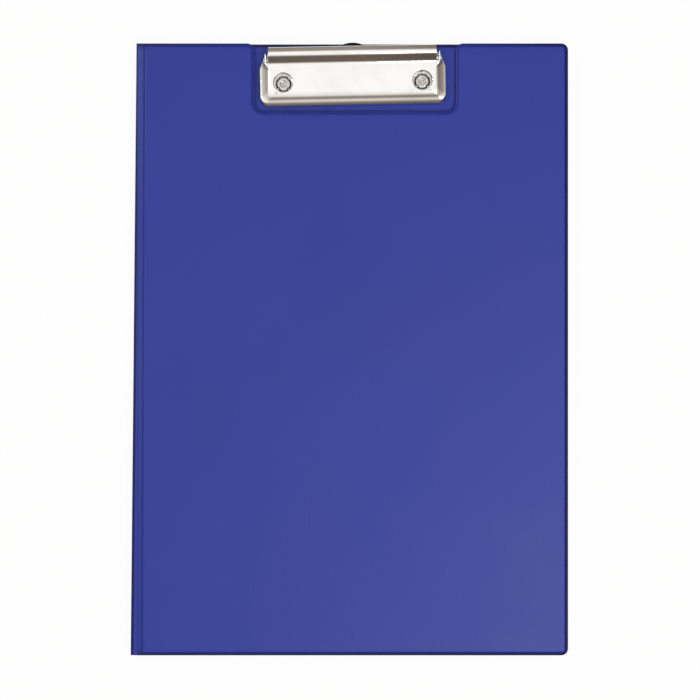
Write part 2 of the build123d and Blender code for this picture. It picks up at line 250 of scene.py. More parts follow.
def makeBlueFilm(finish):
    material, tree, shader = newMaterial("blueFilm", **finish["values"])
    cloud = addNoise(tree, finish["cloudScale"], finish["cloudDetail"])
    stops = [(finish["cloudFrom"], finish["deep"]), (finish["cloudTo"], finish["light"])]
    ramp = rampFrom(tree, cloud.outputs["Fac"], stops)
    # painted shade: the film's colour is darkened where it turns down at its rims and along the fold's
    # outer edge; 6 and 7 are the Mix node's two colours
    paintedShade = addNode(tree, "ShaderNodeAttribute", attribute_name="paintedShade")
    coloured = addNode(tree, "ShaderNodeMix", data_type="RGBA")
    coloured.inputs[7].default_value = (*finish["pressed"], 1)
    tree.links.new(paintedShade.outputs["Fac"], coloured.inputs[0])
    tree.links.new(ramp.outputs["Color"], coloured.inputs[6])
    tree.links.new(coloured.outputs[2], shader.inputs["Base Color"])
    sheen = spreadOf(tree, cloud.outputs["Fac"], finish["sheenLow"], finish["sheenHigh"])
    tree.links.new(sheen, shader.inputs["Roughness"])
    grain = addNoise(tree, finish["grainScale"], finish["grainDetail"])
    pores = addNode(tree, "ShaderNodeTexVoronoi", {"Scale": finish["poreScale"]})
    coordinates = addNode(tree, "ShaderNodeTexCoord")
    tree.links.new(coordinates.outputs["Object"], pores.inputs["Vector"])
    fine = addBump(tree, grain.outputs["Fac"], finish["grainDepth"])
    coarse = addBump(tree, pores.outputs["Distance"], finish["poreDepth"], under=fine)
    tree.links.new(coarse.outputs["Normal"], shader.inputs["Normal"])
    return material


# Nickel plate: bright, faintly warm, with a slow ripple and fine rubbed lines

nickelFinish = dict(
    warm=(0.90, 0.885, 0.86), pale=(0.965, 0.955, 0.935), tintScale=60, tintFrom=0.3, tintTo=0.55,
    rippleScale=45, rippleDetail=1, rippleDepth=0.035 * mm,
    rubScale=900, rubStretch=(0.15, 1, 1), roughLow=0.09, roughHigh=0.17,
)


def makeNickel(finish):
    material, tree, shader = newMaterial("nickel", Metallic=1.0)
    tint = addNoise(tree, finish["tintScale"])
    stops = [(finish["tintFrom"], finish["warm"]), (finish["tintTo"], finish["pale"])]
    ramp = rampFrom(tree, tint.outputs["Fac"], stops)
    tree.links.new(ramp.outputs["Color"], shader.inputs["Base Color"])
    rub = addNoise(tree, finish["rubScale"], stretch=finish["rubStretch"])
    rough = spreadOf(tree, rub.outputs["Fac"], finish["roughLow"], finish["roughHigh"])
    tree.links.new(rough, shader.inputs["Roughness"])
    ripple = addNoise(tree, finish["rippleScale"], finish["rippleDetail"])
    bump = addBump(tree, ripple.outputs["Fac"], finish["rippleDepth"])
    tree.links.new(bump.outputs["Normal"], shader.inputs["Normal"])
    return material


# Plain finishes: two colours mottled by noise, a roughness range and a fine bump

plainFinishes = dict(
    springSteel=dict(low=(0.30, 0.29, 0.28), high=(0.50, 0.49, 0.47), scale=1800,
                     rough=(0.22, 0.40), depth=0.004 * mm, values=dict(Metallic=1.0)),
    dullNickel=dict(low=(0.54, 0.51, 0.48), high=(0.74, 0.71, 0.68), scale=700,
                    rough=(0.15, 0.27), depth=0.006 * mm, values=dict(Metallic=1.0)),
    blackPlastic=dict(low=(0.004, 0.004, 0.005), high=(0.008, 0.008, 0.009), scale=1600,
                      rough=(0.45, 0.60), depth=0.02 * mm, values=dict(Specular_IOR_Level=0.15)),
    greyboard=dict(low=(0.20, 0.18, 0.15), high=(0.36, 0.33, 0.28), scale=900,
                   rough=(0.80, 0.95), depth=0.06 * mm, values={}),
    clearFilm=dict(low=(0.80, 0.84, 0.90), high=(0.92, 0.94, 0.97), scale=300,
                   rough=(0.14, 0.26), depth=0.01 * mm, values=dict(Alpha=0.09, IOR=1.46)),
)


def makePlain(name, finish, detail=4, stops=(0.3, 0.7)):
    material, tree, shader = newMaterial(name, **finish["values"])
    mottle = addNoise(tree, finish["scale"], detail)
    colours = (finish["low"], finish["high"])
    ramp = rampFrom(tree, mottle.outputs["Fac"], list(zip(stops, colours)))
    tree.links.new(ramp.outputs["Color"], shader.inputs["Base Color"])
    rough = spreadOf(tree, mottle.outputs["Fac"], *finish["rough"])
    tree.links.new(rough, shader.inputs["Roughness"])
    bump = addBump(tree, mottle.outputs["Fac"], finish["depth"])
    tree.links.new(bump.outputs["Normal"], shader.inputs["Normal"])
    return material


blueFilm = makeBlueFilm(blueFinish)
nickel = makeNickel(nickelFinish)
springSteel, dullNickel, blackPlastic, greyboard, clearFilm = (
    makePlain(name, plainFinishes[name])
    for name in ("springSteel", "dullNickel", "blackPlastic", "greyboard", "clearFilm")
)
print("finishes made")

# Film skins: an outline stepped inwards from the welded rim, over the board's edge, to the face

skinShape = dict(
    freeCorner=3.5 * mm, leastCorner=0.5 * mm, cornerSteps=10,
    notchHalf=52.5 * mm, notchDepth=35.4 * mm, notchCorner=5.0 * mm, mouthCorner=4.0 * mm,
    lipWidth=0.5 * mm, clearance=0.03 * mm, holeSteps=48, sharpAngle=50,
    # beside the fold the rim is this many times as wide, and at the foot it leans out by the slant
    flapSpread=1.35, flapSlant=1.3 * mm,
    # the painted shade on the rim round the notch is lighter, down to this multiple of the notch's depth
    notchShade=0.4, notchMargin=1.2,
    # distance in from the rim, height as a share of the half thickness, and how much painted shade it
    # gets where it turns down
    rows=[
        (0.00, 0.00, 1.0), (0.00, 0.12, 1.0), (0.08, 0.19, 1.0), (0.22, 0.24, 1.0), (0.45, 0.31, 1.0),
        (0.75, 0.40, 1.0), (1.05, 0.50, 1.0), (1.30, 0.60, 0.95), (1.50, 0.70, 0.75), (1.70, 0.80, 0.45),
        (1.90, 0.88, 0.15), (2.15, 0.935, 0.0), (2.45, 0.965, 0.0), (2.90, 0.985, 0.0),
        (3.40, 1.00, 0.0), (3.70, 1.00, 0.0),
    ],
    # beside the fold the painted shade is faint, except on the line at the board's edge
    flapShade=0.12, flapLineFrom=1.2, flapLineShade=0.55, flapEnd=3.0 * mm,
)


def leftOf(inset, shape):
    if inset < shape["lipWidth"]:
        return flapEdge + inset
    if inset < boardInset:
        return boardLeft - shape["flapSpread"] * (boardInset - inset)
    return boardLeft + inset - boardInset


def panelLoop(inset, notched, shape):
    leftX = leftOf(inset, shape)
    slant = shape["flapSlant"] if inset >= shape["lipWidth"] else 0
    steps = shape["cornerSteps"]
    right = freeEdge - inset
    top = halfPage - inset
    round1 = max(shape["freeCorner"] - inset, shape["leastCorner"])
    points = [(leftX - slant, -top)]
    points += arcPoints(right - round1, -top + round1, round1, -90, 0, steps)
    points += arcPoints(right - round1, top - round1, round1, 0, 90, steps)
    if notched:
        mouth = max(shape["mouthCorner"] - inset, shape["leastCorner"])
        side = shape["notchHalf"] + inset
        inner = shape["notchHalf"] - shape["notchCorner"]
        floorY = halfPage - shape["notchDepth"] + shape["notchCorner"]
        turn = shape["notchCorner"] + inset
        points += arcPoints(side + mouth, top - mouth, mouth, 90, 180, steps)
        points += arcPoints(inner, floorY, turn, 0, -90, steps)
        points += arcPoints(-inner, floorY, turn, -90, -180, steps)
        points += arcPoints(-side - mouth, top - mouth, mouth, 0, 90, steps)
    points.append((leftX, top))
    end = shape["flapEnd"]
    for y in (top - end, end - top):     # the two ends of the weld beside the fold
        points.append((leftX - slant * (top - y) / (2 * top), y))
    return points


def makeSkin(name, weldZ, halfThick, side, notched, holes, shape):
    mesh = bmesh.new()
    rings = []
    paintedShade = mesh.verts.layers.float.new("paintedShade")
    notchReach = shape["notchHalf"] + shape["mouthCorner"]
    notchFoot = halfPage - shape["notchDepth"] * shape["notchMargin"]
    hair = shape["clearance"] / 3        # keeps the two films of a board from touching
    for inset, share, pressed in shape["rows"]:
        loop = panelLoop(inset * mm, notched, shape)
        z = weldZ + side * max(share * halfThick, hair)
        rings.append(ringIn(mesh, [(x, y, z) for x, y in loop]))
        # each ring gets its share of painted shade, lighter round the notch
        for vert in rings[-1]:
            atNotch = notched and abs(vert.co.x) < notchReach and vert.co.y > notchFoot
            vert[paintedShade] = pressed * (shape["notchShade"] if atNotch else 1)
        # the two points beside the fold get faint painted shade, stronger on the line at the board's edge
        flap = shape["flapLineShade"] if inset > shape["flapLineFrom"] else shape["flapShade"]
        for vert in rings[-1][-2:]:
            vert[paintedShade] = pressed * flap
    for first, second in zip(rings, rings[1:]):
        bridgeRings(mesh, first, second)
    inside = boardInset - shape["clearance"]
    loop = panelLoop(inside, notched, shape)
    lowZ = weldZ + side * hair
    roofZ = weldZ + side * (halfThick - film + hair)
    foot = ringIn(mesh, [(x, y, lowZ) for x, y in loop])
    roof = ringIn(mesh, [(x, y, roofZ) for x, y in loop])
    bridgeRings(mesh, rings[0], foot)
    bridgeRings(mesh, foot, roof)
    outerHoles, innerHoles = [], []
    faceZ = weldZ + side * halfThick
    for centre, radius in holes:
        circle = circlePoints(radius, shape["holeSteps"], centre)
        outerHoles.append(ringIn(mesh, [(x, y, faceZ) for x, y in circle]))
        innerHoles.append(ringIn(mesh, [(x, y, roofZ) for x, y in circle]))
        bridgeRings(mesh, outerHoles[-1], innerHoles[-1])
    fillFlat(mesh, rings[-1], *outerHoles)
    fillFlat(mesh, roof, *innerHoles)
    return settle(pieceFrom(mesh, name, blueFilm), shape["sharpAngle"])


# The two rivets, in the clip's directions, and the radius of the holes round their heads
rivetPlaces = [(side * 36.3 * mm, -11.8 * mm) for side in (-1, 1)]
headPocket = 4.55 * mm
headHoles = [(clipPoint(u, v, 0).xy, headPocket) for u, v in rivetPlaces]
halfBack = backFace / 2
halfCover = (coverHigh.z - coverLow.z) / 2 + film
skins = [
    ("coverOuterFilm", coverWeld, halfCover, 1, True, [], "cover", "cover_outer_film"),
    ("coverInnerFilm", coverWeld, halfCover, -1, True, [], "cover", "cover_inner_film"),
    ("backInnerFilm", backWeld, halfBack, 1, False, [], "back", "back_inner_film"),
    ("backOuterFilm", backWeld, halfBack, -1, False, headHoles, "back", "back_outer_film"),
]
for name, weldZ, halfThick, side, notched, holes, body, node in skins:
    place(makeSkin(name, weldZ, halfThick, side, notched, holes, skinShape), body, "blue_film", node)
print("film skins made")

# Clear pocket inside the cover: a thin sheet with a pressed border and a thumb cut in its open edge

pocketShape = dict(
    corner=3.5 * mm, leastCorner=0.3 * mm, thumb=14.0 * mm, gap=0.03 * mm,
    cornerSteps=8, thumbSteps=40, sharpAngle=50,
    # distance in from the edge, and share of the way down from the cover
    rows=[
        (0.00, 0.45), (0.15, 0.55), (0.50, 0.60), (0.90, 0.35), (1.60, 0.35), (2.00, 0.60),
        (2.50, 0.92), (3.10, 1.00), (3.60, 1.00),
    ],
)


def pocketLoop(inset, low, high, shape):
    steps = shape["cornerSteps"]
    corner = max(shape["corner"] - inset, shape["leastCorner"])
    left, right = low.x + inset, high.x - inset
    foot, top = low.y + inset, high.y - inset
    thumb = shape["thumb"] + inset
    points = arcPoints(left + corner, foot + corner, corner, 180, 270, steps)
    points += arcPoints(right - corner, foot + corner, corner, -90, 0, steps)
    points += arcPoints(right - corner, top - corner, corner, 0, 90, steps)
    cut = degrees(asin(inset / thumb))
    points += arcPoints(0, high.y, thumb, -cut, cut - 180, shape["thumbSteps"])
    points += arcPoints(left + corner, top - corner, corner, 90, 180, steps)
    return points


def makePocket(shape):
    low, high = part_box("cover_pocket")
    under = high.z - shape["gap"]
    mesh = bmesh.new()
    rings = [ringIn(mesh, [(x, y, under) for x, y in pocketLoop(0, low, high, shape)])]
    for inset, share in shape["rows"]:
        z = mixOf(under, low.z, share)
        rings.append(ringIn(mesh, [(x, y, z) for x, y in pocketLoop(inset * mm, low, high, shape)]))
    for first, second in zip(rings, rings[1:]):
        bridgeRings(mesh, first, second)
    fillFlat(mesh, rings[0])
    fillFlat(mesh, rings[-1])
    return settle(pieceFrom(mesh, "coverPocket", clearFilm), shape["sharpAngle"])


place(makePocket(pocketShape), "cover", "clear_film", "cover_pocket")
print("pocket made")

# Spine fold: a strip of film that bulges out between the two boards, more towards the foot

foldShape = dict(
    bulgeTop=0.60 * mm, bulgeFoot=3.65 * mm, fullness=0.80, lap=0.25 * mm, outerGap=0.01 * mm,
    waviness=0.12 * mm, waveScale=24.0, stepsRound=20, stepsDown=64,
    # painted shade along the outer edge, where the film turns down: full up to the first distance, gone
    # at the second
    shadeFull=1.35 * mm, shadeGone=1.80 * mm,
    bendFrom=0.5 * mm,
)


def makeFoldTree():
    tree = bpy.data.node_groups.new("foldStrip", "GeometryNodeTree")
    sockets = {}
    tree.interface.new_socket("Geometry", in_out="OUTPUT", socket_type="NodeSocketGeometry")
    for title in ("Length", "Edge X", "Low Z", "High Z", "Bulge Top", "Bulge Foot", "Fullness",
                  "Start", "End", "Stand Off", "Thickness", "Waviness", "Wave Scale",
                  "Shade Full", "Shade Gone"):
        made = tree.interface.new_socket(title, in_out="INPUT", socket_type="NodeSocketFloat")
        sockets[title] = made.identifier
    for title in ("Steps Round", "Steps Down"):
        made = tree.interface.new_socket(title, in_out="INPUT", socket_type="NodeSocketInt")
        sockets[title] = made.identifier
    made = tree.interface.new_socket("Material", in_out="INPUT", socket_type="NodeSocketMaterial")
    sockets["Material"] = made.identifier
    given = addNode(tree, "NodeGroupInput").outputs
    link = tree.links.new

    def calc(operation, a, b=None, c=None):
        node = addNode(tree, "ShaderNodeMath", operation=operation)
        for socket, value in zip(node.inputs, (a, b, c)):
            if isinstance(value, (int, float)):
                socket.default_value = value
            elif value is not None:
                link(value, socket)
        return node.outputs[0]

    grid = addNode(tree, "GeometryNodeMeshGrid", {"Size X": 1.0, "Size Y": 1.0})
    link(given["Steps Round"], grid.inputs["Vertices X"])
    link(given["Steps Down"], grid.inputs["Vertices Y"])
    position = addNode(tree, "GeometryNodeInputPosition")
    parts = addNode(tree, "ShaderNodeSeparateXYZ")
    link(position.outputs[0], parts.inputs[0])
    s = calc("ADD", parts.outputs["X"], 0.5)
    t = calc("ADD", given["Start"], calc("MULTIPLY", s, calc("SUBTRACT", given["End"], given["Start"])))
    angle = calc("MULTIPLY", t, pi)
    sine, cosine = calc("SINE", angle), calc("COSINE", angle)
    y = calc("MULTIPLY", parts.outputs["Y"], given["Length"])
    up = calc("ADD", parts.outputs["Y"], 0.5)
    change = calc("SUBTRACT", given["Bulge Top"], given["Bulge Foot"])
    bulge = calc("MULTIPLY_ADD", up, change, given["Bulge Foot"])
    wave = addNode(tree, "ShaderNodeTexNoise", {"Detail": 1.0}, noise_dimensions="1D")
    link(y, wave.inputs["W"])
    link(given["Wave Scale"], wave.inputs["Scale"])
    ripple = calc("MULTIPLY", calc("SUBTRACT", wave.outputs[0], 0.5), given["Waviness"])
    reach = calc("MULTIPLY", calc("ADD", bulge, ripple), calc("POWER", sine, given["Fullness"]))
    apart = calc("MULTIPLY", sine, given["Stand Off"])
    x = calc("SUBTRACT", calc("SUBTRACT", given["Edge X"], reach), apart)
    middle = calc("MULTIPLY", calc("ADD", given["Low Z"], given["High Z"]), 0.5)
    halfRise = calc("MULTIPLY", calc("SUBTRACT", given["High Z"], given["Low Z"]), 0.5)
    z = calc("MULTIPLY_ADD", cosine, calc("ADD", halfRise, given["Stand Off"]), middle)
    joined = addNode(tree, "ShaderNodeCombineXYZ")
    for socket, value in zip(joined.inputs, (x, y, z)):
        link(value, socket)
    bent = addNode(tree, "GeometryNodeSetPosition")
    link(grid.outputs["Mesh"], bent.inputs["Geometry"])
    link(joined.outputs[0], bent.inputs["Position"])
    thick = addNode(tree, "GeometryNodeExtrudeMesh", {"Individual": False})
    link(bent.outputs[0], thick.inputs["Mesh"])
    link(given["Thickness"], thick.inputs["Offset Scale"])
    turned = addNode(tree, "GeometryNodeFlipFaces")
    link(bent.outputs[0], turned.inputs[0])
    both = addNode(tree, "GeometryNodeJoinGeometry")
    link(thick.outputs["Mesh"], both.inputs[0])
    link(turned.outputs[0], both.inputs[0])
    welded = addNode(tree, "GeometryNodeMergeByDistance", {"Distance": looseGap})
    link(both.outputs[0], welded.inputs["Geometry"])
    # the share of painted shade is stored on the points for the film's material
    named = addNode(tree, "GeometryNodeStoreNamedAttribute", {"Name": "paintedShade"}, data_type="FLOAT")
    where = addNode(tree, "GeometryNodeInputPosition")
    places = addNode(tree, "ShaderNodeSeparateXYZ")
    link(where.outputs[0], places.inputs[0])
    upThere = calc("ADD", calc("DIVIDE", places.outputs["Y"], given["Length"]), 0.5)
    bulgeThere = calc("MULTIPLY_ADD", upThere, change, given["Bulge Foot"])
    outermost = calc("SUBTRACT", given["Edge X"], bulgeThere)
    # painted shade: 1 along the strip's outer edge, where it turns down, and 0 further in
    outerShade = addNode(tree, "ShaderNodeMapRange", {"To Min": 1.0, "To Max": 0.0})
    link(calc("SUBTRACT", places.outputs["X"], outermost), outerShade.inputs["Value"])
    link(given["Shade Full"], outerShade.inputs["From Min"])
    link(given["Shade Gone"], outerShade.inputs["From Max"])
    link(welded.outputs[0], named.inputs["Geometry"])
    link(outerShade.outputs["Result"], named.inputs["Value"])
    real = addNode(tree, "GeometryNodeRealizeInstances")
    link(named.outputs[0], real.inputs[0])
    coated = addNode(tree, "GeometryNodeSetMaterial")
    link(real.outputs[0], coated.inputs["Geometry"])
    link(given["Material"], coated.inputs["Material"])
    link(coated.outputs[0], addNode(tree, "NodeGroupOutput").inputs[0])
    return tree, sockets


# Runs a node tree on a piece of its own and returns the plain mesh object
def growPiece(name, tree, sockets, values, start=None):
    data = start or bpy.data.meshes.new(name)
    piece = bpy.data.objects.new(name, data)
    modifier = piece.modifiers.new("tree", "NODES")
    modifier.node_group = tree
    for title, value in values.items():
        modifier[sockets[title]] = value
    scene.collection.objects.link(piece)
    return settle(piece, sharpAngle=50)


def makeFold(name, span, standOff, shape, tree, sockets):
    values = {
        "Length": 2 * halfPage, "Edge X": flapEdge + shape["lap"], "Low Z": backWeld,
        "High Z": coverWeld, "Bulge Top": shape["bulgeTop"] + shape["lap"],
        "Bulge Foot": shape["bulgeFoot"] + shape["lap"], "Fullness": shape["fullness"],
        "Start": span[0], "End": span[1], "Stand Off": standOff, "Thickness": film,
        "Waviness": shape["waviness"], "Wave Scale": shape["waveScale"],
        "Shade Full": shape["shadeFull"], "Shade Gone": shape["shadeGone"],
        "Steps Round": shape["stepsRound"], "Steps Down": shape["stepsDown"], "Material": blueFilm,
    }
    piece = growPiece(name, tree, sockets, values)
    mesh = bmesh.new()
    mesh.from_mesh(piece.data)
    bmesh.ops.recalc_face_normals(mesh, faces=mesh.faces)
    mesh.to_mesh(piece.data)
    mesh.free()
    return piece


foldTree, foldSockets = makeFoldTree()
foldLayers = [
    ("Outer", foldShape["outerGap"], "spine_outer_film"),
    ("Inner", -film, "spine_inner_film"),
]
for layer, standOff, node in foldLayers:
    upper = makeFold(f"fold{layer}Upper", (0.0, 0.5), standOff, foldShape, foldTree, foldSockets)
    lower = makeFold(f"fold{layer}Lower", (0.5, 1.0), standOff, foldShape, foldTree, foldSockets)
    for piece in (upper, lower):
        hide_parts(node)
    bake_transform(upper)
    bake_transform(lower)
print("spine fold made")

# Lever: walls leaning in from the jaw, a bend into the plate, and the thumb roll behind it

leverShape = dict(
    plateHeight=6.8 * mm, jawHalf=48.5 * mm, plateHalf=43.3 * mm,
    jawV=-23.7 * mm, frontV=-17.45 * mm, jawCorner=4.0 * mm, plateCorner=2.4 * mm,
    wallRows=51, cornerSteps=14,
    # the wall from its foot to the plate: shares of the way in at the front and at the sides, and height
    wall=[
        (0.00, 0.00, 0.3), (0.00, 0.00, 1.6), (0.00, 0.00, 2.7), (0.01, 0.00, 3.05), (0.085, 0.00, 3.52),
        (0.171, 0.00, 3.97), (0.257, 0.01, 4.35), (0.343, 0.148, 4.64), (0.428, 0.263, 4.90),
        (0.514, 0.378, 5.20), (0.600, 0.525, 5.60), (0.685, 0.648, 5.97), (0.770, 0.741, 6.25),
        (0.857, 0.826, 6.48), (0.925, 0.907, 6.66), (0.97, 0.97, 6.76), (1.00, 1.00, 6.80),
    ],
    # where each side begins and ends its taper towards the cheek, at the foot and at the plate
    taperFrom=(-5.0 * mm, -6.0 * mm), taperTo=(3.0 * mm, -1.4 * mm), taperEnd=-6.5 * mm,
    taperSteps=10, cheekSteps=8,
    cheekLow=46.0 * mm, cheekHigh=45.7 * mm, rearV=3.2 * mm, cheekLift=0.2 * mm,
    sheet=0.8 * mm, edge=0.10 * mm, edgeAngle=55, sharpAngle=40,
    # the flat band inside the plate's edge: its width, how soon it is full towards the sides,
    # and where it begins to lie behind the front edge too
    support=0.15 * mm, supportReach=1.05, supportFront=-8.0 * mm,
    rollHalf=43.8 * mm, troughV=-3.0 * mm,
    # the roll behind the plate: steps, radius and turn, or a straight length
    roll=[(16, 2.6 * mm, 44), (1, None, 3.2 * mm), (18, 2.6 * mm, -44), (14, 2.6 * mm, -29),
          (1, None, 2.05 * mm), (16, 0.8 * mm, -120)],
    dishSteps=64,
    # rings of the dish round each access hole: radius and depth
    dish=[(5.38, 0.0), (5.31, 0.0), (5.24, 0.05), (5.16, 0.15), (5.09, 0.27), (5.03, 0.38), (5.00, 0.45)],
)


# A smooth line through given points, by the share of the way along it
def smoothLine(points, share):
    last = len(points) - 1
    spot = min(share * last, last - 1e-9)        # the end itself counts with the last stretch
    k = int(spot)
    t = spot - k
    around = [points[min(max(k + n, 0), last)] for n in (-1, 0, 1, 2)]
    made = []
    for a, b, c, d in zip(*around):
        made.append(b + 0.5 * t * (c - a + t * (2 * a - 5 * b + 4 * c - d + t * (3 * (b - c) + d - a))))
    return made


# One side of the lever's outline, from the rear of the cheek to the front corner
def leverSide(height, inFront, inSide, shape):
    half = mixOf(shape["jawHalf"], shape["plateHalf"], inSide)
    cheek = mixOf(shape["cheekLow"], shape["cheekHigh"], inSide)
    front = mixOf(shape["jawV"], shape["frontV"], inFront)
    corner = mixOf(shape["jawCorner"], shape["plateCorner"], inFront)
    taperFrom = mixOf(*shape["taperFrom"], inSide)
    taperTo = mixOf(*shape["taperTo"], inSide)
    below = max(axleHeight - height, 0)
    rear = sqrt((axleHeight - shape["cheekLift"]) ** 2 - below**2) if below else shape["rearV"]
    plateRear = shape["troughV"] - shape["support"]
    stretches = [
        (rear, plateRear, shape["cheekSteps"] - 1),
        (plateRear, shape["taperEnd"], shape["taperSteps"]),
    ]
    places = [rear]
    for start, end, count in stretches:
        places += [mixOf(start, end, (k + 1) / count) for k in range(count)]
    points = [(mixOf(cheek, half, easeOf(-taperTo, -taperFrom, -v)), v) for v in places]
    points += arcPoints(half - corner, front + corner, corner, 0, -90, shape["cornerSteps"])
    return points


def makeLever(shape):
    mesh = bmesh.new()
    top = shape["plateHeight"]
    rows = []
    for k in range(shape["wallRows"] + 1):
        inFront, inSide, height = smoothLine(shape["wall"], k / shape["wallRows"])
        side = leverSide(height * mm, max(inFront, 0), max(inSide, 0), shape)
        loop = side + [(-u, v) for u, v in reversed(side)]
        rows.append(ringIn(mesh, [clipPoint(u, v, height * mm) for u, v in loop]))
    for first, second in zip(rows, rows[1:]):
        bridgeRings(mesh, first, second, closed=False)
    # a narrow flat band inside the bend keeps the plate's reflection straight
    cheekEnd = shape["cheekSteps"] - 1
    edgeRow = rows[-1][cheekEnd:-cheekEnd]
    centre = clipPoint(0, (shape["frontV"] + shape["troughV"]) / 2, top)
    support = shape["support"]
    band = []
    for vert in edgeRow:
        fromCentre = vert.co - centre
        u, v = fromCentre.dot(across), fromCentre.dot(along)
        fullness = min(abs(u) / shape["plateHalf"] * shape["supportReach"], 1)
        inU = u - support * (1 if u > 0 else -1) * fullness
        inV = v + support * (1 if v < shape["supportFront"] else 0)
        band.append(mesh.verts.new(centre + across * inU + along * inV))
    bridgeRings(mesh, edgeRow, band, closed=False)
    # thumb roll
    heading = 0.0
    path = [(shape["troughV"] - support, top), (shape["troughV"], top)]
    for count, radius, sweep in shape["roll"]:
        for _ in range(count):
            v, w = path[-1]
            if radius is None:
                path.append((v + sweep * cos(heading), w + sweep * sin(heading)))
                continue
            turn = radians(sweep) / count
            chord = 2 * radius * sin(abs(turn) / 2)
            path.append((v + chord * cos(heading + turn / 2), w + chord * sin(heading + turn / 2)))
            heading += turn
    rollRows = [ringIn(mesh, [clipPoint(u, v, w) for u in (shape["rollHalf"], -shape["rollHalf"])])
                for v, w in path]
    for row, nextRow in zip(rollRows, rollRows[1:]):
        bridgeRings(mesh, row, nextRow, closed=False)
    # dished access holes
    dishes = []
    for u, v in rivetPlaces:
        rings = []
        for radius, depth in shape["dish"]:
            circle = circlePoints(radius * mm, shape["dishSteps"], (u, v))
            rings.append(ringIn(mesh, [clipPoint(a, b, top - depth * mm) for a, b in circle]))
        for outer, inner in zip(rings, rings[1:]):
            bridgeRings(mesh, outer, inner)
        dishes.append(rings[0])
    fillFlat(mesh, band + rollRows[0][::-1], *dishes)
    bmesh.ops.remove_doubles(mesh, verts=mesh.verts, dist=joinGap)
    bmesh.ops.recalc_face_normals(mesh, faces=mesh.faces)
    mesh.normal_update()
    # the sheet is open, so its upper side is made to face up before it gets its thickness
    flatFace = max(mesh.faces, key=lambda face: face.calc_area())
    if flatFace.normal.z < 0:
        bmesh.ops.reverse_faces(mesh, faces=mesh.faces)
    piece = pieceFrom(mesh, "clipLever", nickel, closed=False)
    wall = piece.modifiers.new("sheet", "SOLIDIFY")
    wall.thickness = shape["sheet"]
    wall.offset = -1
    wall.use_even_offset = True
    addBevel(piece, shape["edge"], angle=shape["edgeAngle"])
    return settle(piece, shape["sharpAngle"])


place(makeLever(leverShape), "lever", "nickel", "clip_lever")
print("lever made")

# Rivets: the set end spreads into four petals round an eye, and one tree puts it at both places

rivetShape = dict(
    flare=4.2 * mm, flareHigh=0.7 * mm, leastHigh=0.02 * mm,
    # the eye and the pip in it: radius, where the edge begins and ends as a share of that, and height
    eye=1.9 * mm, eyeEdge=(0.72, 1.05), eyeDeep=0.58 * mm,
    pip=0.85 * mm, pipEdge=(0.5, 1.1), pipHigh=0.36 * mm,
    slotHalf=0.34 * mm, slotDeep=0.6 * mm, slotSoft=0.24 * mm, slotFrom=2.9 * mm,
    petals=4, rings=44, spokes=160,
    shank=2.2 * mm, head=4.5 * mm, headHigh=0.8 * mm, headSunk=0.05 * mm, headSoft=0.25 * mm,
    baseSheet=0.8 * mm,        # the base plate that the petals lie on
)


def rivetHeight(r, angle, shape):
    crown = shape["flareHigh"] * sqrt(max(1 - (r / shape["flare"]) ** 4, 0))
    eyeFrom, eyeTo = (shape["eye"] * share for share in shape["eyeEdge"])
    pipFrom, pipTo = (shape["pip"] * share for share in shape["pipEdge"])
    crown -= shape["eyeDeep"] * (1 - easeOf(eyeFrom, eyeTo, r))
    crown += shape["pipHigh"] * (1 - easeOf(pipFrom, pipTo, r))
    pitch = 2 * pi / shape["petals"]
    nearest = (angle + pitch / 2) % pitch - pitch / 2
    aside = abs(r * sin(nearest))
    slot = 1 - easeOf(shape["slotHalf"] - shape["slotSoft"], shape["slotHalf"] + shape["slotSoft"], aside)
    slot *= easeOf(shape["slotFrom"], shape["slotFrom"] + shape["slotSoft"] * 2, r)
    return max(crown - shape["slotDeep"] * slot, shape["leastHigh"])


def rivetMesh(shape):
    mesh = bmesh.new()
    baseHeight = shape["baseSheet"]
    slotTurn = pi / shape["petals"]
    rings = []
    for k in range(1, shape["rings"] + 1):
        r = shape["flare"] * k / shape["rings"]
        row = []
        for n in range(shape["spokes"]):
            a = 2 * pi * n / shape["spokes"]
            height = baseHeight + rivetHeight(r, a - slotTurn, shape)
            row.append((r * cos(a), r * sin(a), height))
        rings.append(ringIn(mesh, row))
    centre = mesh.verts.new((0, 0, baseHeight + rivetHeight(0, 0, shape)))
    for k in range(shape["spokes"]):
        mesh.faces.new((centre, rings[0][k], rings[0][(k + 1) % shape["spokes"]]))
    for inner, outer in zip(rings, rings[1:]):
        bridgeRings(mesh, inner, outer)
    underHead = shape["headSunk"] - backFace
    soft = shape["headSoft"]
    below = [
        (shape["flare"], baseHeight), (shape["shank"], baseHeight),
        (shape["shank"], underHead + shape["headHigh"]), (shape["head"], underHead + shape["headHigh"]),
        (shape["head"], underHead + soft), (shape["head"] - soft, underHead),
    ]
    last = rings[-1]
    for r, height in below:
        ring = ringIn(mesh, [(x, y, height) for x, y in circlePoints(r, shape["spokes"])])
        bridgeRings(mesh, last, ring)
        last = ring
    fillFlat(mesh, last)
    bmesh.ops.remove_doubles(mesh, verts=mesh.verts, dist=joinGap)
    bmesh.ops.recalc_face_normals(mesh, faces=mesh.faces)
    data = bpy.data.meshes.new("rivet")
    mesh.to_mesh(data)
    mesh.free()
    return data


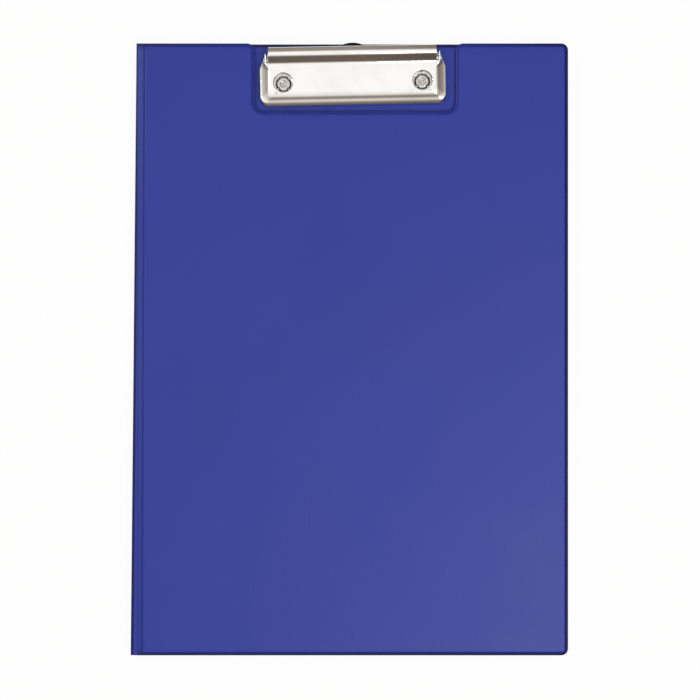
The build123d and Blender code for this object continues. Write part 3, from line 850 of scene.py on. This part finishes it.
def makePairTree():
    tree = bpy.data.node_groups.new("rivetPair", "GeometryNodeTree")
    tree.interface.new_socket("Geometry", in_out="OUTPUT", socket_type="NodeSocketGeometry")
    sockets = {}
    for title, kind in (("Rivet", "Geometry"), ("Count", "Int"), ("First Place", "Vector"),
                        ("Spacing", "Vector"), ("Material", "Material")):
        made = tree.interface.new_socket(title, in_out="INPUT", socket_type="NodeSocket" + kind)
        sockets[title] = made.identifier
    given = addNode(tree, "NodeGroupInput").outputs
    line = addNode(tree, "GeometryNodeMeshLine")
    spots = addNode(tree, "GeometryNodeInstanceOnPoints")
    real = addNode(tree, "GeometryNodeRealizeInstances")
    coated = addNode(tree, "GeometryNodeSetMaterial")
    for source, target in (
        (given["Count"], line.inputs["Count"]), (given["First Place"], line.inputs["Start Location"]),
        (given["Spacing"], line.inputs["Offset"]), (line.outputs[0], spots.inputs["Points"]),
        (given["Rivet"], spots.inputs["Instance"]), (spots.outputs[0], real.inputs[0]),
        (real.outputs[0], coated.inputs["Geometry"]), (given["Material"], coated.inputs["Material"]),
        (coated.outputs[0], addNode(tree, "NodeGroupOutput").inputs[0]),
    ):
        tree.links.new(source, target)
    return tree, sockets


pairTree, pairSockets = makePairTree()
firstRivet = clipPoint(*rivetPlaces[0], 0)
rivetSpacing = clipPoint(*rivetPlaces[1], 0) - firstRivet
rivets = growPiece("clipRivets", pairTree, pairSockets, {
    "Count": 2, "First Place": firstRivet, "Spacing": rivetSpacing, "Material": dullNickel,
}, rivetMesh(rivetShape))
place(rivets, "back", "nickel", "clip_rivets")
print("rivets made")

# Spring: one wire from the leg, round the axle, up to the bar and back, mirrored

springShape = dict(
    wire=0.45 * mm, coil=1.6 * mm, turns=2, pitch=1.5 * mm, armU=13.0 * mm, legV=4.2 * mm, legW=1.27 * mm,
    barV=1.85 * mm, barW=8.0 * mm, bend=1.2 * mm, stepsTurn=32, bendSteps=8, sides=6, sharpAngle=50,
)


# The angle at which a straight wire from (v, w) touches the coil
def touchAngle(v, w, turn, shape):
    rise = w - axleHeight
    return atan2(rise, v) + turn * acos(shape["coil"] / sqrt(v**2 + rise**2))


def makeSpring(shape):
    legAngle = touchAngle(shape["legV"], shape["legW"], -1, shape)
    armAngle = touchAngle(shape["barV"], shape["barW"], 1, shape) - 2 * pi
    sweep = legAngle - armAngle + 2 * pi * shape["turns"]
    length = shape["pitch"] * sweep / (2 * pi)
    count = int(shape["stepsTurn"] * sweep / (2 * pi))
    half = [(-shape["armU"] - length, shape["legV"], shape["legW"])]
    for k in range(count + 1):
        angle = legAngle - sweep * k / count
        u = -shape["armU"] - length * (1 - k / count)
        half.append((u, shape["coil"] * cos(angle), axleHeight + shape["coil"] * sin(angle)))
    corner = Vector((-shape["armU"], shape["barV"], shape["barW"]))
    down = (Vector(half[-1]) - corner).normalized() * shape["bend"]
    sideways = Vector((shape["bend"], 0, 0))
    for k in range(shape["bendSteps"] + 1):
        t = k / shape["bendSteps"]
        half.append(tuple(corner + down * (1 - t) ** 2 + sideways * t**2))
    points = half + [(-u, v, w) for u, v, w in reversed(half)]
    curve = bpy.data.curves.new("clipSpring", "CURVE")
    curve.dimensions = "3D"
    spline = curve.splines.new("POLY")
    spline.points.add(len(points) - 1)
    for target, point in zip(spline.points, points):
        target.co = (*clipPoint(*point), 1)
    curve.bevel_depth = shape["wire"]
    curve.bevel_resolution = shape["sides"]
    curve.use_fill_caps = True
    curve.materials.append(springSteel)
    strand = bpy.data.objects.new("springPath", curve)
    scene.collection.objects.link(strand)
    bpy.context.view_layer.update()
    graph = bpy.context.evaluated_depsgraph_get()
    mesh = bmesh.new()
    mesh.from_mesh(bpy.data.meshes.new_from_object(strand.evaluated_get(graph)))
    bpy.data.objects.remove(strand)
    return settle(pieceFrom(mesh, "clipSpring", springSteel), shape["sharpAngle"])


spring = makeSpring(springShape)
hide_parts("clip_spring")
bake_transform(spring)

# Pieces that keep the frame's form, with softened edges

softPieces = [
    ("clip_base", "clipBase", dullNickel, 0.10 * mm, "back", "nickel"),
    ("clip_axle", "clipAxle", dullNickel, 0.15 * mm, "back", "nickel"),
    ("hanging_tab", "hangingTab", blackPlastic, 0.25 * mm, "tab", "black_plastic"),
]
for node, name, material, width, body, slot in softPieces:
    place(softened(node, name, material, width), body, slot, node)

for name in ("back_board", "cover_board"):
    nodes[name].data.materials.clear()
    nodes[name].data.materials.append(greyboard)
print("spring, tab, base and boards made")

# Floor: pale and plain, keeps a faint shadow, and shows white to the eye and to the metal.
# It lies low enough for the cover when that is folded round behind the back

floorShape = dict(
    half=3.0, drop=4.3 * mm, colour=(0.90, 0.90, 0.90), rough=0.9, shownWhite=0.93,
    toneScale=3, toneDetail=2, toneLow=0.985,
)


def makeFloor(shape):
    mesh = bmesh.new()
    half = shape["half"]
    corners = [(-half, -half), (half, -half), (half, half), (-half, half)]
    mesh.faces.new([mesh.verts.new((x, y, -shape["drop"])) for x, y in corners])
    material, tree, shader = newMaterial("floor", Roughness=shape["rough"])
    tone = addNoise(tree, shape["toneScale"], shape["toneDetail"])
    low = tuple(c * shape["toneLow"] for c in shape["colour"])
    ramp = rampFrom(tree, tone.outputs["Fac"], [(0.3, low), (0.7, shape["colour"])])
    tree.links.new(ramp.outputs["Color"], shader.inputs["Base Color"])
    ray = addNode(tree, "ShaderNodeLightPath")
    seen = addNode(tree, "ShaderNodeMath", operation="MAXIMUM")
    seenToo = addNode(tree, "ShaderNodeMath", operation="MAXIMUM")
    share = addNode(tree, "ShaderNodeMath", {1: shape["shownWhite"]}, operation="MULTIPLY")
    white = addNode(tree, "ShaderNodeEmission", {"Color": (1, 1, 1, 1), "Strength": 1.0})
    mixed = addNode(tree, "ShaderNodeMixShader")
    tree.links.new(ray.outputs["Is Camera Ray"], seen.inputs[0])
    tree.links.new(ray.outputs["Is Glossy Ray"], seen.inputs[1])
    tree.links.new(seen.outputs[0], seenToo.inputs[0])
    tree.links.new(ray.outputs["Is Transmission Ray"], seenToo.inputs[1])
    tree.links.new(seenToo.outputs[0], share.inputs[0])
    tree.links.new(share.outputs[0], mixed.inputs["Fac"])
    tree.links.new(shader.outputs[0], mixed.inputs[1])
    tree.links.new(white.outputs[0], mixed.inputs[2])
    tree.links.new(mixed.outputs[0], tree.nodes["Material Output"].inputs["Surface"])
    pieceFrom(mesh, "floor", material, closed=False)


makeFloor(floorShape)

# Studio: white overhead, warm and darker towards the horizon, with two broad soft lamps

studio = dict(
    # height of the direction, from the horizon to straight up, and its colour
    sky=[(0.00, (0.105, 0.080, 0.065)), (0.25, (0.21, 0.175, 0.145)), (0.45, (0.36, 0.32, 0.28)),
         (0.60, (0.58, 0.545, 0.51)), (0.78, (0.93, 0.925, 0.92)), (1.00, (1.0, 1.0, 1.0))],
    # how much darker the sky is towards the right and towards the front
    darkRight=0.22, darkFront=0.10,
    # name, place, width and power
    lamps=[("keyLamp", (-1.0, 0.3, 1.5), 0.35, 3.6), ("fillLamp", (0.42, -0.38, 1.2), 0.5, 5.7)],
)


def makeStudio(setup):
    world = bpy.data.worlds.new("studio")
    world.use_nodes = True
    scene.world = world
    tree = world.node_tree
    background = tree.nodes["Background"]
    direction = addNode(tree, "ShaderNodeTexCoord")
    parts = addNode(tree, "ShaderNodeSeparateXYZ")
    tree.links.new(direction.outputs["Generated"], parts.inputs[0])
    height = parts.outputs["Z"]
    for axis, share in (("X", -setup["darkRight"]), ("Y", setup["darkFront"])):
        keep = "MAXIMUM" if share < 0 else "MINIMUM"        # only the right, only the front
        limit = addNode(tree, "ShaderNodeMath", {1: 0.0}, operation=keep)
        lower = addNode(tree, "ShaderNodeMath", {1: share}, operation="MULTIPLY_ADD")
        tree.links.new(parts.outputs[axis], limit.inputs[0])
        tree.links.new(limit.outputs[0], lower.inputs[0])
        tree.links.new(height, lower.inputs[2])
        height = lower.outputs[0]
    ramp = rampFrom(tree, height, setup["sky"])
    ray = addNode(tree, "ShaderNodeLightPath")
    mixed = addNode(tree, "ShaderNodeMix", data_type="RGBA")
    mixed.inputs[7].default_value = (1, 1, 1, 1)
    tree.links.new(ray.outputs["Is Camera Ray"], mixed.inputs[0])
    tree.links.new(ramp.outputs["Color"], mixed.inputs[6])
    tree.links.new(mixed.outputs[2], background.inputs["Color"])
    for name, spot, size, power in setup["lamps"]:
        lamp = bpy.data.lights.new(name, "AREA")
        lamp.shape = "DISK"
        lamp.size = size
        lamp.energy = power
        holder = bpy.data.objects.new(name, lamp)
        holder.location = spot
        holder.rotation_mode = "QUATERNION"
        holder.rotation_quaternion = (-Vector(spot)).to_track_quat("-Z", "Y")
        scene.collection.objects.link(holder)


makeStudio(studio)

# Camera: straight above, far enough for the photograph's slight perspective

view = dict(centre=(-2.67 * mm, -0.31 * mm), width=365.7 * mm, distance=1.1, sensor=36.0)
camera = bpy.data.objects.new("camera", bpy.data.cameras.new("camera"))
camera.data.sensor_width = view["sensor"]
camera.data.lens = view["sensor"] * view["distance"] / view["width"]
camera.location = (*view["centre"], coverHigh.z + film + view["distance"])
scene.collection.objects.link(camera)
scene.camera = camera
scene.view_settings.view_transform = "Standard"
print("floor, studio and camera made")
